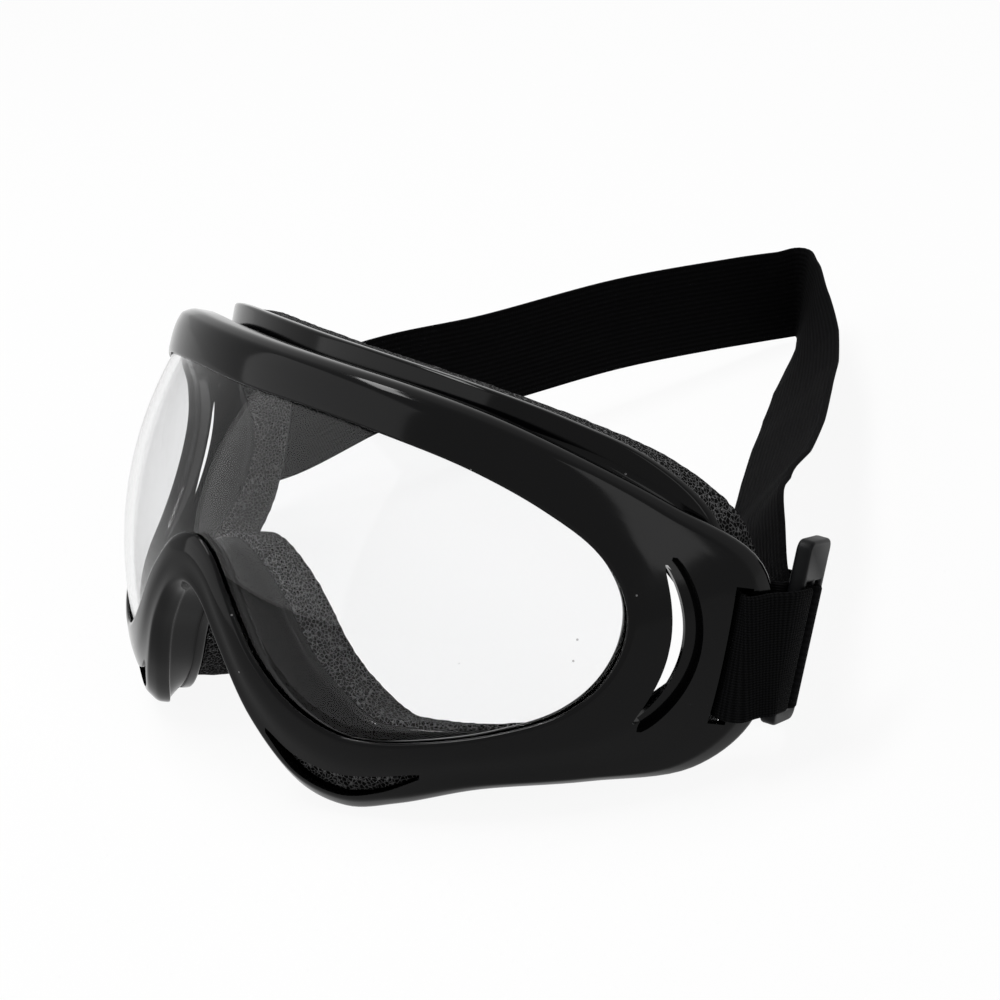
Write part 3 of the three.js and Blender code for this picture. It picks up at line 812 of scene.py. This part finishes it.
# middle of the webbing and direction of its width, from the tail to the sewn end
strapPoints = [
    onSlider(pitch - 2, -7.5), onSlider(pitch - 1.8, -4), onSlider(pitch - 1.8, -1),
    onSlider(pitch - 1.8, 1), onSlider(pitch - 1.2, clear), onSlider(pitch + 1.2, clear),
    onSlider(pitch + 1.9, 1), onSlider(pitch + 2, -1), onSlider(pitch + 3.4, -3),
    onSlider(pitch + 6.6, -3.5), onSlider(pitch + 8.8, -5.6), onSlider(pitch + 8.8, -10),
    free(63.5, 94, -22.8, 0.1, 0.55, 0.83), free(53.5, 104.5, -23, 0.2, 0.72, 0.66),
    free(39.5, 123.5, -27, 0.26, 0.79, 0.55), free(23, 144, -31.3, 0.3, 0.8, 0.5),
    free(6, 164.5, -35, 0.3, 0.81, 0.51), free(-9, 183, -38.2, 0.28, 0.8, 0.53),
    free(-23, 199.5, -39.6, 0.19, 0.76, 0.62), free(-36.5, 214.5, -39.6, 0.04, 0.62, 0.78),
    free(-48, 227, -38.4, -0.05, 0.4, 0.91), free(-55, 231.5, -37.7, 0, 0.2, 0.98),
    free(-58.6, 226, -37.5, 0, 0.05, 1), free(-62, 208, -34.5, 0, 0, 1), free(-68, 175, -30, 0, 0, 1),
    free(-75.5, 135, -27.8, 0, 0, 1), free(-82.5, 102, -25, 0, 0.05, 1),
    onTemple(wingAt + 7, midAt, outAt + 0.2), onTemple(overWing, midAt, outAt + 0.1),
    onTemple(slotAt + 1.5, midAt, outAt), onTemple(slotAt, midAt, 0.6), onTemple(slotAt, midAt, -2.4),
    onTemple(slotAt + 1.6, midAt, inAt), onTemple(overWing, midAt, inAt),
    onTemple(wingAt + 1, midAt, inAt - 0.2),
]

# two pieces that meet just behind the slider; steps of the line
strapSplit = {"perSpan": 10, "tail": 13, "cut": 104, "endBend": (13, 2), "mainBend": (30, 3)}


def makeStrap():
    perSpan, cut = strapSplit["perSpan"], strapSplit["cut"]
    line = smoothLine([p for p, up in strapPoints], perSpan, False)
    shift = Vector(stance["shift"])
    centres = [(p + shift) * mm for p in line]
    widths = []
    for i in range(len(line)):
        first = min(i // perSpan, len(strapPoints) - 2)
        share = i / perSpan - first
        widths.append(strapPoints[first][1].lerp(strapPoints[first + 1][1], share).normalized())
    end, endLength = bandPiece("strapEnd", centres, widths, False, strapSplit["tail"], cut + 1)
    main, mainLength = bandPiece("strapMain", centres, widths, False, cut)
    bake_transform(end)
    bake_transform(main)
    return (end, endLength), (main, mainLength)


for strapPiece, strapLength in makeStrap():
    strapPiece.data.materials.append(materials["strap"])
    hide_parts("strap_main")
    print(strapPiece.name, "length", round(strapLength, 4))
print("loop length", round(loopLength, 4))
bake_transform(strapLoop)

print("stage")
stageSet = {"floor": 6.0, "drop": -0.0005, "glow": 0.92, "dimSky": 0.12}


def stageMaterial():
    material = bpy.data.materials.new("paleFloor")
    material.use_nodes = True
    tree = material.node_tree
    tree.nodes.clear()
    out = addNode(tree, "ShaderNodeOutputMaterial")
    diffuse = addNode(tree, "ShaderNodeBsdfDiffuse")
    diffuse.inputs["Color"].default_value = (0.9, 0.9, 0.9, 1)
    glow = addNode(tree, "ShaderNodeEmission")
    glow.inputs["Color"].default_value = (1, 1, 1, 1)
    light = addNode(tree, "ShaderNodeLightPath")
    seen = addNode(tree, "ShaderNodeMath", operation="MAXIMUM")
    shine = addNode(tree, "ShaderNodeMath", operation="MAXIMUM")
    most = addNode(tree, "ShaderNodeMath", operation="MULTIPLY")
    most.inputs[1].default_value = stageSet["glow"]
    mix = addNode(tree, "ShaderNodeMixShader")
    tree.links.new(light.outputs["Is Camera Ray"], seen.inputs[0])
    tree.links.new(light.outputs["Is Transmission Ray"], seen.inputs[1])
    tree.links.new(seen.outputs["Value"], shine.inputs[0])
    tree.links.new(light.outputs["Is Glossy Ray"], shine.inputs[1])
    tree.links.new(shine.outputs["Value"], most.inputs[0])
    tree.links.new(most.outputs["Value"], mix.inputs["Fac"])
    tree.links.new(diffuse.outputs["BSDF"], mix.inputs[1])
    tree.links.new(glow.outputs["Emission"], mix.inputs[2])
    tree.links.new(mix.outputs["Shader"], out.inputs["Surface"])
    return material


deselectAll()
bpy.ops.mesh.primitive_plane_add(size=stageSet["floor"], location=(0, 0, stageSet["drop"]))
floor = bpy.context.active_object
floor.name = "floor"
floor.data.materials.append(stageMaterial())

world = bpy.data.worlds.new("studio")
world.use_nodes = True
bpy.context.scene.world = world
sky = world.node_tree
sky.nodes.clear()
skyOut = addNode(sky, "ShaderNodeOutputWorld")
dimSky = addNode(sky, "ShaderNodeBackground")
dimSky.inputs["Strength"].default_value = stageSet["dimSky"]
whiteSky = addNode(sky, "ShaderNodeBackground")
whiteSky.inputs["Strength"].default_value = 1.0
skyPath = addNode(sky, "ShaderNodeLightPath")
skySeen = addNode(sky, "ShaderNodeMath", operation="MAXIMUM")
skyMix = addNode(sky, "ShaderNodeMixShader")
skyShine = addNode(sky, "ShaderNodeMath", operation="MAXIMUM")
sky.links.new(skyPath.outputs["Is Camera Ray"], skySeen.inputs[0])
sky.links.new(skyPath.outputs["Is Transmission Ray"], skySeen.inputs[1])
sky.links.new(skyPath.outputs["Is Glossy Ray"], skyShine.inputs[0])
sky.links.new(skySeen.outputs["Value"], skyShine.inputs[1])
sky.links.new(skyShine.outputs["Value"], skyMix.inputs["Fac"])
sky.links.new(dimSky.outputs["Background"], skyMix.inputs[1])
sky.links.new(whiteSky.outputs["Background"], skyMix.inputs[2])
sky.links.new(skyMix.outputs["Shader"], skyOut.inputs["Surface"])


def softBox(name, place, target, size, power):
    lamp = bpy.data.lights.new(name, "AREA")
    lamp.shape = "RECTANGLE"
    lamp.size, lamp.size_y = size
    lamp.energy = power
    holder = bpy.data.objects.new(name, lamp)
    holder.location = place
    holder.rotation_euler = (Vector(target) - Vector(place)).to_track_quat("-Z", "Y").to_euler()
    bpy.context.scene.collection.objects.link(holder)


softBox("overhead", (-0.3, -0.2, 1.3), (0, -0.05, 0.04), (1.1, 0.22), 14)
softBox("cameraLeft", (-0.5, -1.1, 0.6), (0, -0.05, 0.04), (1.4, 1.2), 7)
softBox("cameraRight", (1.3, -0.1, 0.7), (0, 0, 0.04), (0.5, 1.1), 4)
bpy.context.scene.view_settings.view_transform = "Standard"
